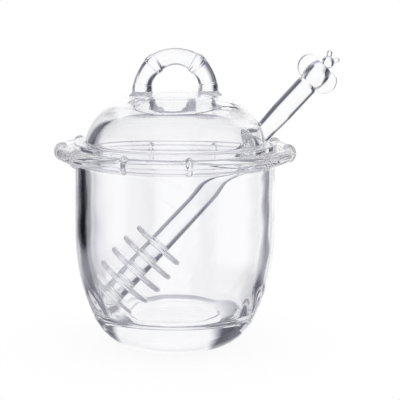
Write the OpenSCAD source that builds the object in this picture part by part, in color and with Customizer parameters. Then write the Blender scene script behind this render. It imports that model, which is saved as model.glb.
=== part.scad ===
// Clear glass honey pot. A heavy-based bowl carries a bamboo ring round its lip, a domed lid
// with a bamboo handle sits inside the ring, and a dipper with a bee on its end leans out
// through a notch in the lid. Millimetres, +Z up, origin at the centre of the foot; the dipper,
// the notch and the handle lie in the XZ plane, with the bee towards +X.

/* [Bowl] */
// Outside radius of the bowl at its belly
belly_r = 44.5; // [41:0.5:46]
// Height of the belly above the table
belly_z = 50; // [44:1:56]
// Radius of the long arc of the lower wall
wall_arc_r = 90; // [80:1:110]
// Radius of the heel arc that turns the wall under
heel_r = 22; // [18:0.5:26]
// Radius of the flat foot
foot_r = 21.6; // [18:0.2:25]
// Thickness of the wall
bowl_wall = 4.8; // [3.6:0.1:5.6]
// Thickness of the heavy base, up to the inside floor
base_t = 14.6; // [9:0.2:17]
// Radius of the inside corner between floor and wall
inner_heel_r = 5; // [4:0.5:10]
// Radius of the round mark pressed into the floor
mark_r = 20; // [16:0.5:22]
// Depth of the floor mark
mark_depth = 0.4; // [0.2:0.1:0.8]

/* [Lip and rim] */
// Height of the lip's top, on which the lid sits
lip_z = 88.6; // [82:0.2:95]
// Thickness of the out-turned lip
lip_t = 4.2; // [3.4:0.1:4.8]
// Radius of the fillet under the lip
lip_fillet = 3.2; // [1:0.1:3.6]
// Rounding of the mouth's inner edge
mouth_round = 1.2; // [0.6:0.1:1.8]
// Distance from the bowl's outside to the middle of the rim's bamboo rod
ring_out = 5.5; // [4.8:0.1:8]
// Radius of the rim's bamboo rod
ring_rod_r = 2.9; // [2.6:0.1:3.4]
// Drop of the ring's centre below the lip's top
ring_drop = 1.8; // [1.2:0.1:2.2]

/* [Bamboo joints] */
// Width of each of the two hoops of a rim joint
rim_hoop_w = 2.4; // [1.6:0.1:3]
// Bare gap between the two hoops of a rim joint
rim_hoop_gap = 0.9; // [0.6:0.1:1.4]
// Width of the one hoop of a handle joint
handle_hoop_w = 3.2; // [2.4:0.1:3.6]
// Height of a hoop above the rod it wraps
hoop_proud = 0.8; // [0.4:0.1:1.2]

/* [Lid] */
// Outside radius of the dome
dome_r = 40.6; // [38.5:0.1:42]
// Height of the dome's crown above the lip's top
dome_h = 24.8; // [22:0.2:30]
// Radius of the dome's outside shoulder
shoulder_r = 26; // [20:0.5:27]
// Rise of the nearly flat crown above the shoulder's top
crown_rise = 0.8; // [0.4:0.1:1.6]
// Thickness of the dome's wall at its foot
dome_wall = 4; // [3.4:0.1:5]
// Thickness of the crown under the handle
crown_t = 5; // [4.2:0.1:7]
// Radius of the dome's inside shoulder
inner_shoulder_r = 20; // [16:0.5:21]
// Rise of the crown's underside above the inside shoulder's top
inner_rise = 2.6; // [1.6:0.2:3.2]
// Gap between the flange that rests on the lip and the joints of the ring
flange_gap = 1.3; // [0.8:0.1:2.4]
// Thickness of the flange
flange_t = 2.5; // [1.8:0.1:3.4]
// Depth of the skirt that keeps the lid in the mouth
skirt_h = 5; // [3:0.2:7]
// Free gap between the skirt and the mouth
skirt_gap = 0.7; // [0.4:0.1:1.2]
// Gap under the flange at rest
lid_gap = 0.25; // [0.15:0.05:0.4]
// Free room in the notch on each side of the dipper's rod
notch_side = 6; // [4:0.1:7]
// How much larger the radius of the notch's arched top is than half its width
notch_flat = 1; // [0.6:0.1:2]
// Gap between the notch's top and the rod
notch_gap = 0.6; // [0.4:0.1:1.2]

/* [Handle] */
// Radius of the arch, to the middle of its bamboo rod
arch_r = 14.8; // [13:0.1:16]
// Radius of the handle's bamboo rod
handle_rod_r = 4; // [3.4:0.1:4.4]
// Height of the arch's centre above the crown
arch_lift = 0.8; // [0.2:0.1:2]
// Radius that each foot spreads to where it is fused to the dome
foot_spread_r = 5.8; // [5.2:0.1:7]
// Height of the spread foot
foot_spread_h = 2.2; // [1.8:0.1:3.6]
// Angle of the upper joints above the arch's feet
upper_joint = 50.5; // [42:0.5:58]
// Bare rod between the arch's feet and the foot joints
foot_bare = 0.2; // [0.1:0.1:1.5]

/* [Dipper] */
// Lean of the dipper above the table
lean = 46.5; // [45.5:0.1:48]
// Radius of the rod
rod_r = 4.4; // [3.8:0.1:4.8]
// Length of the rod from the middle of its round tip to the bee
rod_l = 129.5; // [122:0.5:140]
// Rounding of the rod's upper end
rod_round = 0.9; // [0.4:0.1:1.4]
// Gap at the two places where the dipper leans on the bowl
rest_gap = 0.3; // [0.2:0.05:0.4]
// Radius of the widest disc of the head
head_r = 14.5; // [12.5:0.1:15]
// How much smaller the lowest disc's radius is
head_bow = 2.4; // [2:0.1:3.4]
// Thickness of each disc
disc_t = 2.4; // [1.8:0.1:3]
// Distance from disc to disc
disc_pitch = 7.35; // [6:0.05:8]

/* [Bee] */
// Length of the bee's body
bee_l = 10.4; // [9:0.1:12]
// Radius of the body at its middle
bee_r = 4.85; // [4.4:0.05:5.4]
// Radius of the body's barrel arc
bee_arc_r = 20; // [14:0.5:30]
// Rounding of the body's ends
bee_round = 1; // [0.5:0.1:1.6]
// Radius of each wing
wing_r = 5.7; // [5:0.1:6.4]
// Thickness of each wing
wing_t = 1.8; // [1.2:0.1:2.4]
// Distance of each wing's centre from the bee's axis
wing_out = 4.8; // [4:0.1:5.4]
// Gap between the wings' lower edges and the end of the rod
wing_gap = 0.1; // [0.05:0.05:0.6]
// Radius of the round head
bee_head_r = 2.85; // [2.4:0.05:3.3]
// Depth to which the head is pressed on to the body
head_press = 0.35; // [0.2:0.05:0.6]
// Radius of each antenna
antenna_r = 1.2; // [0.9:0.05:1.4]
// Distance from the head's centre to the middle of an antenna's round end
antenna_l = 4.3; // [3.8:0.1:5]
// Spread of each antenna from the bee's axis
antenna_spread = 34; // [30:1:42]

/* [Hidden] */
$fn = 96;

glass = [0.93, 0.94, 0.97, 0.45];

// Where the joints sit round the rim, in degrees from the front (-Y) towards +X, set by eye
rim_joint_at = [-35, -3.5, 39, 75, 105, 145, 185, 231, 262, 293];
// Reach of a cut past the solid that it cuts
past = 1;

// Centre of a circle of radius r that lies inside the circle (c, big), touches it and passes
// through the point p below: the two sides from c and the side from p make one triangle
function nested_centre(c, big, p, r) =
    let (reach = big - r)
    let (to_p = norm(p - c))
    let (turn = acos((reach * reach + to_p * to_p - r * r) / (2 * reach * to_p)))
    let (aim = atan2(p.y - c.y, p.x - c.x) + turn)
    c + reach * [cos(aim), sin(aim)];

// Distance along the line p + t d (d of length 1) at which it leaves the circle (c, r)
function line_leaves_circle(p, d, c, r) =
    let (along = (c - p) * d)
    let (off = norm(c - p - along * d))
    along + sqrt(r * r - off * off);

// Radius of the arc that caps a dome: it touches the shoulder circle (centre radius a, radius r)
// from outside and peaks at the height h above the shoulder's centre
function cap_radius(a, h, r) = (a * a + h * h - r * r) / (2 * (h - r));

// Bowl
wall_c = [belly_r - wall_arc_r, belly_z];
heel_c = nested_centre(wall_c, wall_arc_r, [foot_r, 0], heel_r);
heel_top = wall_c.y + wall_arc_r * (heel_c.y - wall_c.y) / norm(heel_c - wall_c);
mouth_r = belly_r - bowl_wall;
inner_arc_r = wall_arc_r - bowl_wall;
inner_heel_z = base_t + inner_heel_r;
inner_heel_reach = sqrt(pow(inner_arc_r - inner_heel_r, 2) - pow(inner_heel_z - wall_c.y, 2));
inner_heel_c = [wall_c.x + inner_heel_reach, inner_heel_z];
inner_heel_top = wall_c.y + inner_arc_r * (inner_heel_c.y - wall_c.y) / norm(inner_heel_c - wall_c);
lip_low = lip_z - lip_t;
ring_c = [belly_r + ring_out, lip_z - ring_drop];

// Lid
seat_z = lip_z + lid_gap;
crown_z = lip_z + dome_h;
shoulder_c = [dome_r - shoulder_r, crown_z - crown_rise - shoulder_r];
inner_dome_r = dome_r - dome_wall;
inner_crown_z = crown_z - crown_t;
inner_shoulder_c = [inner_dome_r - inner_shoulder_r, inner_crown_z - inner_rise - inner_shoulder_r];
flange_r = ring_c.x - ring_rod_r - hoop_proud - flange_gap;
skirt_r = mouth_r - skirt_gap;
skirt_low = seat_z - skirt_h;
arch_z = crown_z + arch_lift;
foot_joint = (foot_bare + handle_hoop_w / 2) / arch_r * 180 / PI;

// Dipper: its rod lies rest_gap above the mouth's rounded edge, and it slides down until the
// rounded rim of its lowest disc is rest_gap from the far wall or from the floor
axis_d = [cos(lean), sin(lean)];
axis_up = [-sin(lean), cos(lean)];
mouth_edge_c = [mouth_r + mouth_round, lip_z - mouth_round];
axis_p = mouth_edge_c + (mouth_round + rod_r + rest_gap) * axis_up;
disc_n = 5;
widest_disc = 2.8;
rim_r = disc_t / 2;
low_rim_out = head_r - head_bow - rim_r;
low_rim_up = axis_p + rim_r * axis_d + low_rim_out * axis_up;
low_rim_down = axis_p + rim_r * axis_d - low_rim_out * axis_up;
far_wall_c = [-wall_c.x, wall_c.y];
reach_to_wall = line_leaves_circle(low_rim_up, -axis_d, far_wall_c, inner_arc_r - rim_r - rest_gap);
reach_to_floor = (low_rim_down.y - rim_r - rest_gap - base_t) / axis_d.y;
tip_c = axis_p - min(reach_to_wall, reach_to_floor) * axis_d;
bee_low = rod_l;
bee_top = bee_low + bee_l;
wing_z = bee_low + wing_gap + wing_r;
head_z = bee_top + bee_head_r - head_press;

// Notch: its top clears the point where the rod's upper side leaves the dome
rod_top_p = axis_p + rod_r * axis_up;
rod_exit = rod_top_p + line_leaves_circle(rod_top_p, axis_d, shoulder_c, shoulder_r) * axis_d;
notch_top = rod_exit.y + notch_gap;
notch_w = 2 * (rod_r + notch_side);
notch_arch_r = notch_w / 2 + notch_flat;

// The part of a circle's area, right of the axis, between two heights
module arc_slice(c, r, low, high, reach) {
    intersection() {
        translate(c) circle(r);
        translate([0, low]) square([reach, high - low]);
    }
}

// Half section of the bowl's outside, from the foot up to a straight wall
module bowl_outside() {
    arc_slice(heel_c, heel_r, 0, heel_top, belly_r);
    square([heel_c.x, heel_top]);
    arc_slice(wall_c, wall_arc_r, heel_top, belly_z, belly_r);
    translate([0, belly_z]) square([belly_r, lip_z - belly_z]);
}

// Half section of the bowl's hollow, from the floor up through the mouth
module bowl_hollow() {
    arc_slice(inner_heel_c, inner_heel_r, base_t, inner_heel_top, mouth_r);
    translate([0, base_t]) square([inner_heel_c.x, inner_heel_top - base_t]);
    translate([0, base_t - mark_depth]) square([mark_r, mark_depth + past]);
    arc_slice(wall_c, inner_arc_r, inner_heel_top, belly_z, mouth_r);
    translate([0, belly_z]) square([mouth_r, lip_z - belly_z + past]);
    difference() {
        translate([0, lip_z - mouth_round]) square([mouth_r + mouth_round, mouth_round + past]);
        translate(mouth_edge_c) circle(mouth_round);
    }
}

// Half section of the out-turned lip with the fillet under it, up to the ring's rod
module lip_section() {
    ring_half = sqrt(max(0, ring_rod_r * ring_rod_r - pow(ring_c.y - lip_low, 2)));
    fillet = min(lip_fillet, ring_out - ring_half);
    difference() {
        union() {
            translate([belly_r - past, lip_low]) square([ring_out + past, lip_t]);
            difference() {
                translate([belly_r - past, lip_low - fillet]) square([fillet + past, fillet]);
                translate([belly_r + fillet, lip_low - fillet]) circle(fillet);
            }
        }
        translate(ring_c) circle(ring_rod_r);
    }
}

// Half section of the dome's outside, filled down to the seat
module dome_outside() {
    cap_r = cap_radius(shoulder_c.x, crown_z - shoulder_c.y, shoulder_r);
    intersection() {
        union() {
            arc_slice(shoulder_c, shoulder_r, seat_z, crown_z, dome_r);
            translate([0, seat_z]) square([shoulder_c.x, crown_z - seat_z]);
        }
        translate([0, crown_z - cap_r]) circle(cap_r);
    }
}

// Half section of the hollow under the dome, from below the skirt up to the inner crown
module dome_hollow() {
    cap_r = cap_radius(inner_shoulder_c.x, inner_crown_z - inner_shoulder_c.y, inner_shoulder_r);
    intersection() {
        union() {
            arc_slice(inner_shoulder_c, inner_shoulder_r, inner_shoulder_c.y, inner_crown_z, inner_dome_r);
            translate([0, inner_shoulder_c.y]) square([inner_shoulder_c.x, inner_crown_z - inner_shoulder_c.y]);
        }
        translate([0, inner_crown_z - cap_r]) circle(cap_r);
    }
    translate([0, skirt_low - past]) square([inner_dome_r, inner_shoulder_c.y - skirt_low + past]);
}

// One hoop of width w wrapped round a bent rod, its middle along mm past the angle at; the rod of
// radius r is bent along a circle whose centre line in section is c, and children are cut from it
module bent_hoop(c, r, at, w, along = 0) {
    start = at + (along - w / 2) / c.x * 180 / PI;
    rotate([0, 0, start])
        rotate_extrude(angle = w / c.x * 180 / PI)
            difference() {
                translate(c) circle(r + hoop_proud);
                translate(c) circle(r);
                children();
            }
}

// Turns a shape built along +Z from the tip's centre into the leaning dipper's place
module leaning() {
    translate([tip_c.x, 0, tip_c.y]) rotate([0, 90 - lean, 0]) children();
}

// Turns a ring or arch built round Z into the upright arch over the lid, feet at +X and -X
module arched() {
    translate([0, 0, arch_z]) rotate([90, 0, 0]) children();
}

// A flat round plate with a rounded edge, lying in XY
module rounded_plate(r, t) {
    rotate_extrude() {
        translate([0, -t / 2]) square([r - t / 2, t]);
        intersection() {
            translate([r - t / 2, 0]) circle(t / 2);
            translate([0, -t / 2]) square([r, t]);
        }
    }
}

// The heavy-based bowl with its out-turned lip
module bowl() {
    color(glass) rotate_extrude() {
        difference() {
            union() {
                bowl_outside();
                lip_section();
            }
            bowl_hollow();
        }
    }
}

// The bamboo rod bent into a ring and fused to the lip
module rim_ring() {
    color(glass) rotate_extrude() translate(ring_c) circle(ring_rod_r);
}

// The raised joints of the rim's bamboo
module rim_joints() {
    aside = (rim_hoop_w + rim_hoop_gap) / 2;
    color(glass) for (at = rim_joint_at) for (along = [-aside, aside])
        bent_hoop(ring_c, ring_rod_r, at - 90, rim_hoop_w, along) lip_section();
}

// What the notch takes out of the lid: a passage out along +X with an arched top
module notch_cut() {
    low = skirt_low - past;
    out = flange_r + past;
    notch_z = notch_top - notch_arch_r;
    under_w = notch_w + notch_flat;
    intersection() {
        translate([0, -notch_w / 2, low]) cube([out, notch_w, notch_top - low + past]);
        union() {
            translate([0, 0, notch_z]) rotate([0, 90, 0]) cylinder(r = notch_arch_r, h = out);
            translate([0, -under_w / 2, low]) cube([out, under_w, notch_z - low]);
        }
    }
}

// The domed lid: flange, locating skirt and the notch for the rod
module lid_dome() {
    color(glass) difference() {
        rotate_extrude() {
            difference() {
                union() {
                    dome_outside();
                    translate([0, seat_z]) square([flange_r, flange_t]);
                    translate([0, skirt_low]) square([skirt_r, skirt_h]);
                }
                dome_hollow();
            }
        }
        notch_cut();
    }
}

// One foot of the handle: the rod's end spread into a cone, reaching down into the dome
module spread_foot() {
    rotate_extrude() polygon([
        [0, seat_z],
        [foot_spread_r, seat_z],
        [foot_spread_r, arch_z - foot_spread_h],
        [handle_rod_r, arch_z],
        [0, arch_z]
    ]);
}

// The bamboo handle: an arch on two spread feet, fused to the dome
module lid_handle() {
    color(glass) difference() {
        union() {
            arched() rotate_extrude(angle = 180) translate([arch_r, 0]) circle(handle_rod_r);
            for (side = [-1, 1]) translate([side * arch_r, 0, 0]) spread_foot();
        }
        rotate_extrude() dome_outside();
    }
}

// The raised joints of the handle's bamboo
module handle_joints() {
    color(glass) arched() for (at = [foot_joint, upper_joint, 180 - upper_joint, 180 - foot_joint])
        bent_hoop([arch_r, 0], handle_rod_r, at, handle_hoop_w);
}

// The dipper's drawn rod, round at the tip
module dipper_rod() {
    color(glass) leaning() {
        sphere(rod_r);
        rotate_extrude() {
            square([rod_r, rod_l - rod_round]);
            square([rod_r - rod_round, rod_l]);
            intersection() {
                translate([rod_r - rod_round, rod_l - rod_round]) circle(rod_round);
                translate([0, rod_l - rod_round]) square([rod_r, rod_round]);
            }
        }
    }
}

// One disc of the head, threaded on the rod; disc 1 is the uppermost
module dipper_disc(i) {
    last = disc_n - widest_disc;
    r = head_r - head_bow * pow((i - widest_disc) / last, 2);
    color(glass) leaning() translate([0, 0, disc_t / 2 + (disc_n - i) * disc_pitch]) difference() {
        rounded_plate(r, disc_t);
        cylinder(r = rod_r, h = disc_t + 2 * past, center = true);
    }
}

// The bee's barrel, built along +Z
module bee_barrel() {
    rotate_extrude() intersection() {
        translate([bee_r - bee_arc_r, bee_low + bee_l / 2]) circle(bee_arc_r);
        union() {
            translate([0, bee_low]) square([bee_r - bee_round, bee_l]);
            translate([0, bee_low + bee_round]) square([bee_r, bee_l - 2 * bee_round]);
            for (z = [bee_low + bee_round, bee_top - bee_round]) intersection() {
                translate([bee_r - bee_round, z]) circle(bee_round);
                translate([0, bee_low]) square([bee_r, bee_l]);
            }
        }
    }
}

// The bee's body, fused to the end of the rod
module bee_body() {
    color(glass) leaning() bee_barrel();
}

// The bee's round head
module bee_head() {
    color(glass) leaning() difference() {
        translate([0, 0, head_z]) sphere(bee_head_r);
        bee_barrel();
    }
}

// One thin round wing; side is -1 for the upper one and 1 for the lower one
module bee_wing(side) {
    color(glass) leaning() difference() {
        translate([side * wing_out, 0, wing_z]) rotate([90, 0, 0]) rounded_plate(wing_r, wing_t);
        bee_barrel();
    }
}

// One stubby antenna with a round end
module bee_antenna(side) {
    color(glass) leaning() translate([0, 0, head_z]) difference() {
        rotate([0, side * antenna_spread, 0]) {
            cylinder(r = antenna_r, h = antenna_l);
            translate([0, 0, antenna_l]) sphere(antenna_r);
        }
        sphere(bee_head_r);
    }
}

bowl();
rim_ring();
rim_joints();
lid_dome();
lid_handle();
handle_joints();
dipper_rod();
dipper_disc(1);  // dipper_disc_1
dipper_disc(2);  // dipper_disc_2
dipper_disc(3);  // dipper_disc_3
dipper_disc(4);  // dipper_disc_4
dipper_disc(5);  // dipper_disc_5
bee_body();
bee_head();
bee_wing(-1);  // bee_wing_left
bee_wing(1);  // bee_wing_right
bee_antenna(-1);  // bee_antenna_left
bee_antenna(1);  // bee_antenna_right
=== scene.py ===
import bpy
import numpy as np
from mathutils import Euler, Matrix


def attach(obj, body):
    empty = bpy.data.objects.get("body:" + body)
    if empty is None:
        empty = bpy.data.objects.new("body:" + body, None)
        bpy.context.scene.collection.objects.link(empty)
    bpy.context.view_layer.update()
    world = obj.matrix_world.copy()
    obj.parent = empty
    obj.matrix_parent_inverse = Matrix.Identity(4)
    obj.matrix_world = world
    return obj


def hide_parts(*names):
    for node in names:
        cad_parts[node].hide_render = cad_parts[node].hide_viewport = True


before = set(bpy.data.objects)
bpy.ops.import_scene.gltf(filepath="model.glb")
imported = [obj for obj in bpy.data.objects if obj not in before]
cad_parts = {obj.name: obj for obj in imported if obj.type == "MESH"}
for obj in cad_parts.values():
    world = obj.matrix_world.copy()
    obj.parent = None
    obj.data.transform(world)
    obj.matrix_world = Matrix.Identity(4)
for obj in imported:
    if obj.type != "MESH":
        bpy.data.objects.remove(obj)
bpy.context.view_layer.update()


# The pot: a pressed bowl with a heavy base and an out-turned lip, and a bamboo rod of glass that
# was bent into a ring and fused round the lip, joints and all. Clear soda-lime glass in one
# fused body, so its skin is one closed surface with no seam where the rod meets the lip.
MM = 0.001


def arc(centre, radius, start, end):
    """Points every 0.1 mm or so on an arc: centre + radius (cos a, sin a), with a from start to end
    in degrees."""
    a = np.radians(np.linspace(start, end, 3 + int(abs(np.radians(end - start)) * radius / 0.1)))
    return np.column_stack([centre[0] + radius * np.cos(a), centre[1] + radius * np.sin(a)])


def fire_polish(line, soft):
    """A section (r, z) after the flame: points every 0.05 mm along the line, each averaged with its
    neighbours up to 4 mm away under a bell curve of width soft (mm). Both ends lie on the axis, and
    the line is carried on past them by its mirror image, so that the ends stay on the axis."""
    gap = 0.05
    reach = 80
    run = np.concatenate([[0], np.cumsum(np.hypot(*np.diff(line, axis=0).T))])
    even = np.linspace(0, run[-1], int(run[-1] / gap))
    fine = np.column_stack([np.interp(even, run, line[:, k]) for k in (0, 1)])
    bell = np.exp(-0.5 * (np.arange(-reach, reach + 1) * gap / soft) ** 2)
    bell /= bell.sum()
    whole = np.vstack([[-1, 1] * fine[reach:0:-1], fine, [-1, 1] * fine[-2:-reach - 2:-1]])
    return np.column_stack([np.convolve(whole[:, k], bell, "valid") for k in (0, 1)])


def crowd(line, length, bend):
    """Rows of a section, closer together where it turns: one for every so many mm of length plus one
    for every so many degrees of bend, read back from the running sum of both."""
    step = np.diff(line, axis=0)
    turn = np.abs(np.gradient(np.unwrap(np.arctan2(step[:, 1], step[:, 0]))))
    need = np.concatenate([[0], np.cumsum(np.hypot(*step.T) / length + np.degrees(turn) / bend)])
    at = np.linspace(0, need[-1], int(need[-1]) + 2)
    return np.column_stack([np.interp(at, need, line[:, k]) for k in (0, 1)])


def uneven(start, end, count, places, width, extra):
    """Values from start to end whose spacing shrinks near the places: the density is 1 plus extra
    times exp(-(s / width)^4), s from each place, and the values cut its running sum evenly."""
    t = np.linspace(start, end, 20001)
    density = 1 + extra * np.exp(-(((t[:, None] - np.asarray(places)[None]) / width) ** 4)).sum(1)
    need = np.concatenate([[0], np.cumsum((density[1:] + density[:-1]) / 2)])
    return np.interp(np.linspace(0, need[-1], count), need, t)


def closed_skin(name, grid, first, last):
    """A mesh of rows of points, each row a closed loop, with a point at each end: quads between rows
    and a fan of triangles to each end point. Rows run with the glass on their left."""
    rows, columns = grid.shape[:2]
    points = np.vstack([grid.reshape(-1, 3), first, last]) * MM
    here = np.arange(rows * columns).reshape(rows, columns)
    beside = np.roll(here, -1, 1)
    quads = np.stack([here[:-1], beside[:-1], beside[1:], here[1:]], -1).reshape(-1, 4)
    start = np.stack([np.full(columns, rows * columns), beside[0], here[0]], -1)
    end = np.stack([np.full(columns, rows * columns + 1), here[-1], beside[-1]], -1)
    mesh = bpy.data.meshes.new(name)
    mesh.from_pydata(points.tolist(), [], quads.tolist() + start.tolist() + end.tolist())
    mesh.polygons.foreach_set("use_smooth", np.ones(len(mesh.polygons), bool))
    piece = bpy.data.objects.new(name, mesh)
    bpy.context.scene.collection.objects.link(piece)
    return piece


def linear(colour):
    """A hex colour such as 'F4F4F8' as linear red, green and blue, by the sRGB curve."""
    c = np.array([int(colour[i:i + 2], 16) for i in (0, 2, 4)]) / 255
    return tuple(np.where(c <= 0.04045, c / 12.92, ((c + 0.055) / 1.055) ** 2.4))


def add(tree, kind, settings, sockets):
    """Adds a node to a tree: settings are its properties, and sockets gives each input by name or
    number a value, or the output socket that it is linked to."""
    node = tree.nodes.new(kind)
    for key, value in settings.items():
        setattr(node, key, value)
    for key, value in sockets.items():
        if isinstance(value, bpy.types.NodeSocket):
            tree.links.new(value, node.inputs[key])
        else:
            node.inputs[key].default_value = value
    return node


# Clear soda-lime glass, pressed and fire polished: it has no colour but a faint cool tint that grows
# with each surface the light crosses, and a skin that is smooth to the touch but waves a little.
WAVE_MM, WAVE_HEIGHT_MM = 9.0, 0.02
clear_glass = bpy.data.materials.new("clear_pressed_glass")
clear_glass.use_nodes = True
tree = clear_glass.node_tree
tree.nodes.clear()
place = add(tree, "ShaderNodeTexCoord", {}, {})
wave = add(tree, "ShaderNodeTexNoise", {}, {
    "Vector": place.outputs["Object"], "Scale": 1 / (WAVE_MM * MM), "Detail": 1.0, "Roughness": 0.4})
skin = add(tree, "ShaderNodeBump", {}, {
    "Strength": 0.25, "Distance": WAVE_HEIGHT_MM * MM, "Height": wave.outputs["Fac"]})
glass = add(tree, "ShaderNodeBsdfPrincipled", {}, {
    "Base Color": (*linear("FEFEFF"), 1), "Roughness": 0.0, "IOR": 1.5,
    "Transmission Weight": 1.0, "Normal": skin.outputs["Normal"]})
add(tree, "ShaderNodeOutputMaterial", {}, {"Surface": glass.outputs["BSDF"]})

# The section's arcs (r, z): one centre for both sides of the wall, the rounded heel outside and the
# corner inside, each touching the wall, then the out-turned lip and the ring's rod that runs into it.
WALL, WALL_OUT_R, WALL_IN_R = np.array([-45.5, 50.0]), 90.0, 85.2
HEEL, HEEL_R = np.array([16.154, 21.315]), 22.0
CORNER, CORNER_R = np.array([28.715, 19.6]), 5.0
BELLY_R, MOUTH_R = WALL[0] + WALL_OUT_R, WALL[0] + WALL_IN_R
LIP_Z, LIP_DROP, LIP_FILLET, MOUTH_EDGE = 88.6, 7.4, 3.2, 1.2
RING, RING_ROD_R = np.array([50.0, 86.8]), 2.9
RING_UNDER, RING_OVER = 124.2, 141.6
FLOOR_Z = 14.2
FLOOR_MARK = [[21.3, 14.6], [20.6, 15.1], [20.0, FLOOR_Z], [0, FLOOR_Z]]
heel_foot = -np.degrees(np.arcsin(HEEL[1] / HEEL_R))
heel_top = np.degrees(np.arctan2(*(HEEL - WALL)[::-1]))
corner_top = np.degrees(np.arctan2(*(CORNER - WALL)[::-1]))
pot_section = fire_polish(np.vstack([
    [0, 0], arc(HEEL, HEEL_R, heel_foot, heel_top), arc(WALL, WALL_OUT_R, heel_top, 0),
    [BELLY_R, LIP_Z - LIP_DROP], arc((BELLY_R + LIP_FILLET, LIP_Z - LIP_DROP), LIP_FILLET, 180, 90),
    arc(RING, RING_ROD_R, -RING_UNDER, RING_OVER),
    arc((MOUTH_R + MOUTH_EDGE, LIP_Z - MOUTH_EDGE), MOUTH_EDGE, 90, 180),
    arc(WALL, WALL_IN_R, 0, corner_top), arc(CORNER, CORNER_R, corner_top, -90), FLOOR_MARK]), soft=0.25)
pot_rows = crowd(pot_section, length=2.6, bend=5.5)[1:-1]
up = pot_rows[:, 1:]

# The ring's bamboo joints, by their bearing in degrees. Each is a ridge RIDGE exp(-(s / RIDGE_WIDE)^2),
# s mm along the rod, that fades over FADE degrees towards the lip and is higher over and under the rod.
RIM_JOINTS = (np.array([-35, -3.5, 39, 75, 105, 145, 185, 231, 262, 293]) - 90) % 360
RIDGE, RIDGE_WIDE, RIDGE_MORE, FADE = 0.8, 1.2, 0.6, 30
turn = uneven(0, 360, count=400, places=RIM_JOINTS, width=4.6, extra=7)[:-1]
from_ring = pot_rows - RING
rod_r = np.hypot(*from_ring.T)
bearing = np.degrees(np.arctan2(from_ring[:, 1], from_ring[:, 0]))
free = np.clip(np.where(bearing > 0, RING_OVER - bearing, RING_UNDER + bearing) / FADE, 0, 1)
free = free ** 2 * (3 - 2 * free) * (rod_r < RING_ROD_R + 0.2)
free = free * (1 + RIDGE_MORE * np.sin(np.radians(bearing)) ** 2)
from_joint = (turn[:, None] - RIM_JOINTS) * np.radians(RING[0])
ridge = RIDGE * np.exp(-((from_joint / RIDGE_WIDE) ** 2)).sum(-1)
out = free[:, None] * ridge[None] / np.maximum(rod_r, 1)[:, None]

# The marks of pressing, all inside: a faint ripple of the wall, a sum of two sines that fades out below
# and above; the mould's mark in the neck at the front right; and chill marks in the inner corner,
# slanting waves that are strongest at the left and right.
RIPPLE, NECK, CHILL = 0.025, 0.35, 0.33
NECK_Z, NECK_WIDE, CORNER_Z, CORNER_WIDE = 80.3, 2.4, 21, 6
a = np.radians(turn)[None]
inner = np.arange(len(pot_rows))[:, None] > np.argmax(pot_rows[:, 0])
wall = inner * np.clip((up - 30) / 15, 0, 1) * np.clip((84 - up) / 10, 0, 1)
ripple = np.sin(7 * a + 0.21 * up) + np.sin(12 * a - 0.33 * up + 1.0)
front_right = (0.5 + 0.5 * np.cos(a + np.radians(66))) ** 8
neck = inner * np.exp(-(((up - NECK_Z) / NECK_WIDE) ** 2)) * front_right
to_sides = 0.25 + 0.75 * np.cos(a + np.radians(10)) ** 4
corner = inner * np.exp(-(((up - CORNER_Z) / CORNER_WIDE) ** 2)) * to_sides
chill = np.sin(11 * a + 0.4 * up) + np.sin(18 * a + 0.3 * up + 5.0)
marks = RIPPLE * wall * ripple + NECK * neck + CHILL * corner * chill
r = pot_rows[:, :1] + from_ring[:, :1] * out + marks
z = np.maximum(up + from_ring[:, 1:] * out, 0)
pot = closed_skin("pot_glass", np.stack([r * np.cos(a), r * np.sin(a), z], -1), [0, 0, 0], [0, 0, FLOOR_Z])
pot.data.materials.append(clear_glass)
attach(pot, "pot")
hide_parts("bowl", "rim_ring", "rim_joints")


# The lid: a pressed dome with a flange that rests on the lip, a skirt that keeps it in the mouth,
# and an arched notch that lets the dipper's rod out. The handle is a bamboo rod bent into an arch
# and fused to the crown on two spread feet, so dome and handle are one body of the same glass.
SEAT_Z, FLANGE_R, FLANGE_T = 88.85, 45.0, 2.5
SKIRT_R, SKIRT_IN_R, SKIRT_LOW = 39.0, 36.6, 83.85
CROWN_Z, SHOULDER_IN, SHOULDER_Z, SHOULDER_R = 113.4, 14.6, 86.6, 26.0
HOLLOW_Z, HOLLOW_IN, HOLLOW_SHOULDER_Z, HOLLOW_SHOULDER_R = 108.4, 16.6, 85.8, 20.0
ARCH_R, ARCH_Z, HANDLE_ROD_R, LEG = 14.8, 114.2, 4.0, 5.0


def cap_radius(inset, height, shoulder):
    """Radius of the arc that caps a shoulder circle, touches it and peaks height above its centre, which
    lies inset from the axis: (inset^2 + height^2 - shoulder^2) / (2 (height - shoulder))."""
    return (inset ** 2 + height ** 2 - shoulder ** 2) / (2 * (height - shoulder))


def dome_line(inset, shoulder_z, shoulder, peak, low):
    """Half section of a dome from its foot (angle low on the shoulder circle) up to its peak on the
    axis: an arc of the shoulder circle, and the cap's arc from where the two touch."""
    cap = cap_radius(inset, peak - shoulder_z, shoulder)
    meet = np.degrees(np.arctan2(shoulder_z - (peak - cap), inset))
    return np.vstack([arc((inset, shoulder_z), shoulder, low, meet), arc((0, peak - cap), cap, meet, 90)])


flange_top = np.degrees(np.arcsin((SEAT_Z + FLANGE_T - SHOULDER_Z) / SHOULDER_R))
inside = dome_line(HOLLOW_IN, HOLLOW_SHOULDER_Z, HOLLOW_SHOULDER_R, HOLLOW_Z, 0)[::-1]
outside = dome_line(SHOULDER_IN, SHOULDER_Z, SHOULDER_R, CROWN_Z, flange_top)
lid_section = fire_polish(np.vstack([
    inside, [SKIRT_IN_R, SKIRT_LOW], [SKIRT_R, SKIRT_LOW], [SKIRT_R, SEAT_Z], [FLANGE_R, SEAT_Z],
    [FLANGE_R, SEAT_Z + FLANGE_T], outside]), soft=0.35)
lid_rows = crowd(lid_section, length=0.8, bend=4.5)[1:-1]

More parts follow.
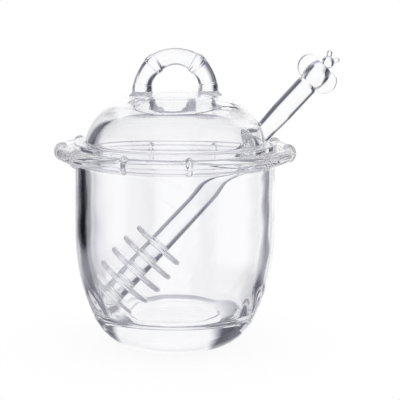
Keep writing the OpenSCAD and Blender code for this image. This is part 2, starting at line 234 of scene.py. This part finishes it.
# Where the hot feet were pressed on, the crown is crumpled on both sides, under a bell curve round
# each foot: a sum of two slanting sines that only ever goes into the glass.
CRUMPLE, CRUMPLE_WIDE, CROWN_FROM = 0.14, 6.0, 100
a = np.radians(np.linspace(0, 360, 241)[:-1])[None]
x, y = lid_rows[:, :1] * np.cos(a), lid_rows[:, :1] * np.sin(a)
on_foot = np.exp(-(((np.abs(x) - ARCH_R) ** 2 + y ** 2) / CRUMPLE_WIDE ** 2))
on_foot = on_foot * (lid_rows[:, 1:] > CROWN_FROM)
crumple = np.sin(1.6 * x + 0.9 * y) + np.sin(1.1 * x - 1.7 * y + 1.0)
under = np.arange(len(lid_rows))[:, None] < np.argmax(lid_rows[:, 0])
z = lid_rows[:, 1:] - CRUMPLE * on_foot * np.where(under, crumple - 2, crumple + 2)
lid = closed_skin("lid_glass", np.stack([x, y, z], -1), [0, 0, HOLLOW_Z], [0, 0, CROWN_Z])


def bamboo(along, joints, width):
    """Height of a bamboo rod's joints above the bare rod: towards each joint the rod thickens by
    0.45 exp(-(s / 4.5)^2), and its hoop is the rounded step 0.8 exp(-(2 s / width)^10), with s the
    mm from the joint's middle; the higher of the two counts."""
    from_joint = along[..., None] - np.asarray(joints)
    thicker = 0.45 * np.exp(-((from_joint / 4.5) ** 2)).sum(-1)
    return np.maximum(thicker, 0.8 * np.exp(-((2 * from_joint / width) ** 10)).sum(-1))


# The handle's rod is carried along two legs and a half circle. It thins towards the top by THIN,
# spreads by SPREAD exp(-h / 0.7) at its feet, h mm above the crown, and wrinkles there.
LEG_JOINT, ARCH_JOINT = 1.2, np.radians(50.5)
THIN, SPREAD, WRINKLE, FOOT_DROP = 0.25, 1.4, 0.35, 1.9
half_circle = np.pi * ARCH_R
span = 2 * LEG + half_circle
HANDLE_JOINTS = LEG + np.array([
    LEG_JOINT, ARCH_R * ARCH_JOINT, half_circle - ARCH_R * ARCH_JOINT, half_circle - LEG_JOINT])
along = uneven(0, span, count=170, places=HANDLE_JOINTS, width=2.8, extra=5)
t = np.clip((along - LEG) / ARCH_R, 0, np.pi)
below = np.where(along < LEG, along - LEG, np.where(along > span - LEG, span - LEG - along, 0))
height = ARCH_R * np.sin(t) + below
over_crown = np.maximum(height + FOOT_DROP, 0)
rod = HANDLE_ROD_R - THIN * np.sin(t) + SPREAD * np.exp(-over_crown / 0.7)
rod = rod + bamboo(along, HANDLE_JOINTS[1:3], 3.5) + 0.5 * bamboo(along, HANDLE_JOINTS[::3], 2.8)
centre = np.stack([ARCH_R * np.cos(t), 0 * t, ARCH_Z + height], -1)[:, None]
out = np.stack([np.cos(t), 0 * t, np.sin(t)], -1)[:, None]
round_rod = np.radians(np.linspace(0, 360, 73)[:-1])[None]
wrinkle = np.exp(-over_crown / 1.2)[:, None] * (np.sin(5 * round_rod) + np.sin(8 * round_rod + 1))
rod = rod[:, None] + WRINKLE * wrinkle
across = np.cos(round_rod)[..., None] * out - np.sin(round_rod)[..., None] * np.array([0, 1, 0])
handle = closed_skin("handle_glass", centre + rod[..., None] * across, centre[0, 0], centre[-1, 0])

# The notch is an upright arch, straight sides and a round top, carried through the dome along x.
NOTCH_HALF, NOTCH_ARCH_R, NOTCH_TOP = 10.4, 11.4, 99.43
NOTCH_LOW, NOTCH_MIDDLE = SKIRT_LOW - 3, 90
side = np.degrees(np.arccos(NOTCH_HALF / NOTCH_ARCH_R))
arch = np.vstack([
    [NOTCH_HALF, NOTCH_LOW], arc((0, NOTCH_TOP - NOTCH_ARCH_R), NOTCH_ARCH_R, side, 180 - side)[::5],
    [-NOTCH_HALF, NOTCH_LOW]])
through = np.array([20.0, 30.0, 40.0, 50.0])
depth = through[:, None, None]
tunnel = np.concatenate([depth + 0 * arch[None, :, :1], 0 * depth + arch[None]], -1)
notch = closed_skin("notch_cutter", tunnel, [through[0], 0, NOTCH_MIDDLE], [through[-1], 0, NOTCH_MIDDLE])


def fuse(piece, other, operation):
    """Joins two closed skins, or cuts the second out of the first, and keeps one closed skin."""
    join = piece.modifiers.new("fuse", "BOOLEAN")
    join.object = other
    join.operation = operation
    join.solver = "EXACT"
    made = piece.evaluated_get(bpy.context.evaluated_depsgraph_get())
    mesh = bpy.data.meshes.new_from_object(made)
    piece.modifiers.clear()
    piece.data = mesh
    bpy.data.objects.remove(other)


fuse(lid, handle, "UNION")
fuse(lid, notch, "DIFFERENCE")
lid.data.set_sharp_from_angle(angle=np.radians(35))
lid.data.materials.clear()
lid.data.materials.append(clear_glass)
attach(lid, "lid")
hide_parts("lid_dome", "lid_handle", "handle_joints")


# The dipper: a drawn glass rod with a round tip, five discs fused on to it as a honey head, and a
# bee worked from gathers of glass on its upper end: a barrel body, a round head, two flat round
# wings and two stubby antennae. All turned about the rod's own axis, which leans in the pot.
LEAN, TIP = np.radians(46.5), np.array([-28.601, 22.733])
ROD_R, ROD_L = 4.4, 129.5
DISC_R, DISC_LESS, DISC_T, DISC_PITCH = 14.5, 2.4, 2.4, 7.35
BEE_L, BEE_R, BARREL_R, NAPE_R, HEAD_R = 10.4, 4.85, 20, 3.0, 2.85
BEE_TOP = ROD_L + BEE_L
HEAD_Z = BEE_TOP + HEAD_R - 0.35
disc_r = DISC_R - DISC_LESS * ((np.arange(5, 0, -1) - 2.8) / 2.2) ** 2
discs = np.vstack([np.vstack([
    [ROD_R, DISC_PITCH * k], [q - DISC_T / 2, DISC_PITCH * k],
    arc((q - DISC_T / 2, DISC_PITCH * k + DISC_T / 2), DISC_T / 2, -90, 90),
    [ROD_R, DISC_PITCH * k + DISC_T]]) for k, q in enumerate(disc_r)])
bulge = np.degrees(np.arcsin(BEE_L / 2 / BARREL_R))
dipper_section = fire_polish(np.vstack([
    arc((0, 0), ROD_R, -90, 0)[:-3], discs, [ROD_R, ROD_L - 0.9], [ROD_R - 0.6, ROD_L],
    arc((BEE_R - BARREL_R, ROD_L + BEE_L / 2), BARREL_R, -bulge, bulge), [NAPE_R, BEE_TOP + 0.2],
    arc((0, HEAD_Z), HEAD_R, -55, 90)]), soft=0.3)

# The drawn rod is thicker towards its tip, and again from above the rim up to the bee's head.
THICKER, EVEN_FROM, THICK_FROM, THICK_RUN, NAPE_RUN = 0.11, 85, 103, 9, 3
s = dipper_section[:, 1:]
bare_rod = dipper_section[:, :1] < ROD_R + 0.3
dipper_section[:, :1] *= 1 + THICKER * np.clip((EVEN_FROM - s) / EVEN_FROM, 0, 1) * bare_rod
above_rim = np.clip((s - THICK_FROM) / THICK_RUN, 0, 1) * np.clip((BEE_TOP - s) / NAPE_RUN, 0, 1)
dipper_section[:, :1] *= 1 + THICKER * above_rim
dipper_rows = crowd(dipper_section, length=1.4, bend=6.5)[1:-1]
turn = np.radians(uneven(0, 360, count=121, places=[0, 180, 360], width=14, extra=5)[:-1])[None]
rho, zeta = dipper_rows[:, :1], dipper_rows[:, 1:]

# A wing is a flat round of glass with a rounded rim. Seen from the axis, its skin lies at WING_T / 2
# over the sine of the turn on its flats, and on a small circle round its rim; the farther of body and
# wing counts.
WING_R, WING_T, WING_OUT = 5.7, 1.8, 4.8
WING_Z = ROD_L + 0.1 + WING_R
chord = np.sqrt(np.maximum(WING_R ** 2 - (zeta - WING_Z) ** 2, 0))
edge = WING_OUT + chord - WING_T / 2
side = np.abs(np.sin(turn))
ahead = np.abs(np.cos(turn))
flat = WING_T / 2 / np.maximum(side, 1e-6)
rim = edge * ahead + np.sqrt(np.maximum((WING_T / 2) ** 2 - (edge * side) ** 2, 0))
wing = np.where(flat * ahead < edge, flat, rim) * np.clip(chord, 0, 1)
r = np.maximum(rho, wing * (zeta < BEE_TOP + 0.2))

# An antenna is a round stem with a round end. Seen from the head's middle, its skin lies at ANTENNA_R
# over the sine of the angle from its axis, and on a ball at its end; the farther of head and antenna
# counts.
ANTENNA_LEAN, ANTENNA_R, ANTENNA_L = np.radians(34), 1.2, 4.29
tilt = np.arctan2(rho, zeta - HEAD_Z)
away = np.hypot(rho, zeta - HEAD_Z)
towards = np.abs(np.sin(tilt) * np.cos(turn)) * np.sin(ANTENNA_LEAN) + np.cos(tilt) * np.cos(ANTENNA_LEAN)
near = np.arccos(np.clip(towards, -1, 1))
cap = ANTENNA_L * np.cos(near) + np.sqrt(np.maximum(ANTENNA_R ** 2 - (ANTENNA_L * np.sin(near)) ** 2, 0))
stem = ANTENNA_R / np.maximum(np.sin(near), 1e-6)
feeler = np.where(np.tan(near) < ANTENNA_R / ANTENNA_L, cap, stem)
grown = np.where((zeta > HEAD_Z - 0.5) & (feeler > away), feeler / away, 1)
r = r * grown
zeta = HEAD_Z + (zeta - HEAD_Z) * grown


def leaned(x, y, along):
    """Point of the dipper in the pot: x across the lean, y level, along the axis from the tip's
    centre, all turned by the lean about the level axis and moved to the tip's place."""
    return np.stack([
        TIP[0] + x * np.sin(LEAN) + along * np.cos(LEAN), y,
        TIP[1] - x * np.cos(LEAN) + along * np.sin(LEAN)], -1)


dipper = closed_skin("dipper_glass", leaned(r * np.cos(turn), r * np.sin(turn), zeta + 0 * turn),
                     leaned(0.0, 0.0, -ROD_R), leaned(0.0, 0.0, HEAD_Z + HEAD_R))
dipper.data.materials.append(clear_glass)
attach(dipper, "dipper")
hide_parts("dipper_rod", *["dipper_disc_%d" % k for k in range(1, 6)], "bee_body", "bee_head",
            "bee_wing_left", "bee_wing_right", "bee_antenna_left", "bee_antenna_right")


# The table: a round of white card, matt, that the pot stands on. It fades to plain white towards its
# edge, so that no edge shows against the white wall of the studio, and the glass sees past it.
TABLE_R, TABLE_LOW, TABLE_SIDES = 0.30, 0.0002, 128
a = np.radians(np.linspace(0, 360, TABLE_SIDES + 1)[:-1])
card = bpy.data.meshes.new("table_card")
card.from_pydata(np.stack([TABLE_R * np.cos(a), TABLE_R * np.sin(a), 0 * a - TABLE_LOW], -1).tolist(), [],
                 [list(range(TABLE_SIDES))])
table = bpy.data.objects.new("table_card", card)
bpy.context.scene.collection.objects.link(table)
smooth = {"interpolation_type": "SMOOTHSTEP"}
white_card = bpy.data.materials.new("matt_white_card")
white_card.use_nodes = True
tree = white_card.node_tree
tree.nodes.clear()
place = add(tree, "ShaderNodeTexCoord", {}, {})
reach = add(tree, "ShaderNodeVectorMath", {"operation": "LENGTH"}, {0: place.outputs["Object"]})
fade = add(tree, "ShaderNodeMapRange", smooth, {
    "Value": reach.outputs["Value"], "From Min": 0.03, "From Max": 0.10, "To Min": 0.92, "To Max": 1.0})
matt = add(tree, "ShaderNodeBsdfDiffuse", {}, {"Color": (*linear("FDFDFD"), 1)})
plain = add(tree, "ShaderNodeEmission", {}, {"Color": (1, 1, 1, 1), "Strength": 1.0})
both = add(tree, "ShaderNodeMixShader", {}, {
    0: fade.outputs["Result"], 1: matt.outputs["BSDF"], 2: plain.outputs["Emission"]})
clear = add(tree, "ShaderNodeBsdfTransparent", {}, {})
path = add(tree, "ShaderNodeLightPath", {}, {})
seen = add(tree, "ShaderNodeMixShader", {}, {
    0: path.outputs["Is Camera Ray"], 1: clear.outputs["BSDF"], 2: both.outputs["Shader"]})
add(tree, "ShaderNodeOutputMaterial", {}, {"Surface": seen.outputs["Shader"]})
card.materials.append(white_card)


# The studio: white all round. In it stand dark cards that only light through or off the glass meets:
# one at the left, one at the right, a greyer one over the pot and one under it, and the dim room
# behind the camera. The glass draws its edges from them; all else sees plain white.
STUDIO_TURN = np.radians(11.0)
world = bpy.data.worlds.new("studio")
bpy.context.scene.world = world
world.use_nodes = True
tree = world.node_tree
tree.nodes.clear()
place = add(tree, "ShaderNodeTexCoord", {}, {})
faced = add(tree, "ShaderNodeVectorRotate", {"rotation_type": "Z_AXIS"}, {
    "Vector": place.outputs["Generated"], "Angle": STUDIO_TURN})
part = add(tree, "ShaderNodeSeparateXYZ", {}, {0: faced.outputs["Vector"]})
x, y, z = (part.outputs[k] for k in "XYZ")


def by_height(stops):
    """A value that changes with the height z of a direction, from -1 straight down to 1 straight up:
    read off the line through the stops (height, value), and level beyond the first and last."""
    share = add(tree, "ShaderNodeMapRange", {}, {"Value": z, "From Min": -1.0, "From Max": 1.0})
    line = add(tree, "ShaderNodeValToRGB", {}, {"Fac": share.outputs["Result"]})
    for i, (level, value) in enumerate(stops):
        stop = line.color_ramp.elements[i] if i < 2 else line.color_ramp.elements.new(1.0)
        stop.position = (level + 1) / 2
        stop.color = (value, value, value, 1)
    return line.outputs["Color"]


# The left card: how dark it is at each height, where it ends outwards, and its inner edge. Its lower
# part stands only behind the pot.
left_depth = by_height([
    (-1.0, 0.0), (-0.60, 0.15), (-0.48, 0.80), (-0.38, 0.85), (-0.31, 0.74), (-0.25, 0.80),
    (-0.19, 1.0), (-0.08, 0.95), (0.2, 0.90), (0.5, 0.97), (1.0, 0.0)])
leftward = add(tree, "ShaderNodeMath", {"operation": "MULTIPLY"}, {0: x, 1: -1.0})
past = add(tree, "ShaderNodeMapRange", smooth, {
    "Value": leftward.outputs["Value"], "From Min": 0.78, "From Max": 0.88, "To Min": 1.0, "To Max": 0.15})
behind = add(tree, "ShaderNodeMapRange", smooth, {"Value": y, "From Min": -0.15, "From Max": 0.10})
stand = add(tree, "ShaderNodeMath", {"operation": "MAXIMUM"}, {
    0: behind.outputs["Result"], 1: by_height([(-0.36, 0.1), (-0.26, 0.45), (-0.20, 1.0)])})
left_depth = add(tree, "ShaderNodeMath", {"operation": "MULTIPLY"}, {
    0: left_depth, 1: past.outputs["Result"]})
left_depth = add(tree, "ShaderNodeMath", {"operation": "MULTIPLY"}, {
    0: left_depth.outputs["Value"], 1: stand.outputs["Value"]})
left_flag = add(tree, "ShaderNodeMapRange", smooth, {
    "Value": leftward.outputs["Value"], "From Min": by_height([(-0.05, 0.31), (0.15, 0.26), (0.45, 0.34)]),
    "From Max": by_height([(-0.05, 0.39), (0.15, 0.46)]), "To Max": left_depth.outputs["Value"]})

# Dusk: a soft shade in directions that dip below the level, from near the middle out to the left card.
low = add(tree, "ShaderNodeMapRange", {}, {
    "Value": z, "From Min": -0.19, "From Max": 0.0, "To Min": 0.62, "To Max": 0.0})
beside = add(tree, "ShaderNodeMapRange", smooth, {
    "Value": leftward.outputs["Value"], "From Min": 0.45, "From Max": 0.65, "To Min": 1.0, "To Max": 0.1})
low = add(tree, "ShaderNodeMath", {"operation": "MULTIPLY"}, {
    0: low.outputs["Result"], 1: beside.outputs["Result"]})
dusk = add(tree, "ShaderNodeMapRange", smooth, {
    "Value": leftward.outputs["Value"], "From Min": 0.10, "From Max": 0.42, "To Max": low.outputs["Value"]})

# The right card: how dark it is at each height, how it thins outwards a little below the level, and
# its inner edge, which leans with height.
right_depth = by_height([
    (-1.0, 0.0), (-0.45, 0.93), (-0.36, 0.86), (-0.28, 0.70), (-0.20, 0.82), (-0.08, 0.90),
    (0.2, 0.92), (0.5, 0.70), (1.0, 0.5)])
far = add(tree, "ShaderNodeMapRange", smooth, {
    "Value": x, "From Min": 0.57, "From Max": 0.88, "To Min": 1.0,
    "To Max": by_height([(-0.38, 1.0), (-0.28, 0.0), (-0.05, 0.0), (0.05, 1.0)])})
right_depth = add(tree, "ShaderNodeMath", {"operation": "MULTIPLY"}, {
    0: right_depth, 1: far.outputs["Result"]})
rise = add(tree, "ShaderNodeMapRange", {}, {
    "Value": z, "From Min": -0.50, "From Max": 0.0, "To Min": 0.12, "To Max": -0.14})
rightward = add(tree, "ShaderNodeMath", {"operation": "ADD"}, {0: x, 1: rise.outputs["Result"]})
right_flag = add(tree, "ShaderNodeMapRange", smooth, {
    "Value": rightward.outputs["Value"], "From Min": 0.36, "From Max": 0.48,
    "To Max": right_depth.outputs["Value"]})

# The cards over and under the pot, and the dim room behind the camera. The darkest counts.
top_flag = add(tree, "ShaderNodeMapRange", smooth, {
    "Value": z, "From Min": 0.56, "From Max": 0.67, "To Max": 0.64})
foot_flag = add(tree, "ShaderNodeMapRange", smooth, {
    "Value": z, "From Min": -0.68, "From Max": -0.80, "To Max": by_height([(-0.96, 0.25), (-0.88, 0.60)])})
room_flag = add(tree, "ShaderNodeMapRange", smooth, {
    "Value": y, "From Min": -0.10, "From Max": -0.30, "To Max": 0.12})
dark = left_flag.outputs["Result"]
for flag in (right_flag, dusk, top_flag, foot_flag, room_flag):
    darker = add(tree, "ShaderNodeMath", {"operation": "MAXIMUM"}, {0: dark, 1: flag.outputs["Result"]})
    dark = darker.outputs["Value"]
light = add(tree, "ShaderNodeMath", {"operation": "SUBTRACT"}, {0: 1.0, 1: dark})
cool = add(tree, "ShaderNodeMath", {"operation": "POWER"}, {0: light.outputs["Value"], 1: 0.88})
tone = add(tree, "ShaderNodeCombineColor", {}, {
    "Red": light.outputs["Value"], "Green": light.outputs["Value"], "Blue": cool.outputs["Value"]})
path = add(tree, "ShaderNodeLightPath", {}, {})
sharp = add(tree, "ShaderNodeMath", {"operation": "MAXIMUM"}, {
    0: path.outputs["Is Glossy Ray"], 1: path.outputs["Is Transmission Ray"]})
seen = add(tree, "ShaderNodeMix", {"data_type": "RGBA"}, {
    "Factor": sharp.outputs["Value"], "A": (1, 1, 1, 1), "B": tone.outputs["Color"]})
glow = add(tree, "ShaderNodeBackground", {}, {"Color": seen.outputs["Result"], "Strength": 1.0})
add(tree, "ShaderNodeOutputWorld", {}, {"Surface": glow.outputs["Background"]})


# The camera: a long lens at the photograph's height and angle, 64 cm from the pot's axis. Light is
# followed through many walls of glass, so the bounce counts are high.
CAMERA_AWAY, CAMERA_UP, CAMERA_LENS = 0.640, 0.1711, 130.6
CAMERA_ROUND, CAMERA_DIP = np.radians(10.0), np.radians(9.41)
CAMERA_SWING, CAMERA_ROLL = np.radians(1.0), np.radians(0.45)
BOUNCES = 200
scene = bpy.context.scene
lens = bpy.data.cameras.new("camera")
lens.sensor_width = 36.0
lens.lens = CAMERA_LENS
lens.clip_start = 0.01
lens.clip_end = 20
camera = bpy.data.objects.new("camera", lens)
scene.collection.objects.link(camera)
camera.location = (-CAMERA_AWAY * np.sin(CAMERA_ROUND), -CAMERA_AWAY * np.cos(CAMERA_ROUND), CAMERA_UP)
look = Euler((np.pi / 2 - CAMERA_DIP, 0, -CAMERA_ROUND - CAMERA_SWING), "XYZ").to_matrix()
roll = Euler((0, 0, CAMERA_ROLL), "XYZ").to_matrix()
camera.rotation_euler = (look @ roll).to_euler()
scene.camera = camera
scene.view_settings.view_transform = "Standard"
scene.cycles.max_bounces = BOUNCES
scene.cycles.transmission_bounces = BOUNCES
scene.cycles.glossy_bounces = BOUNCES
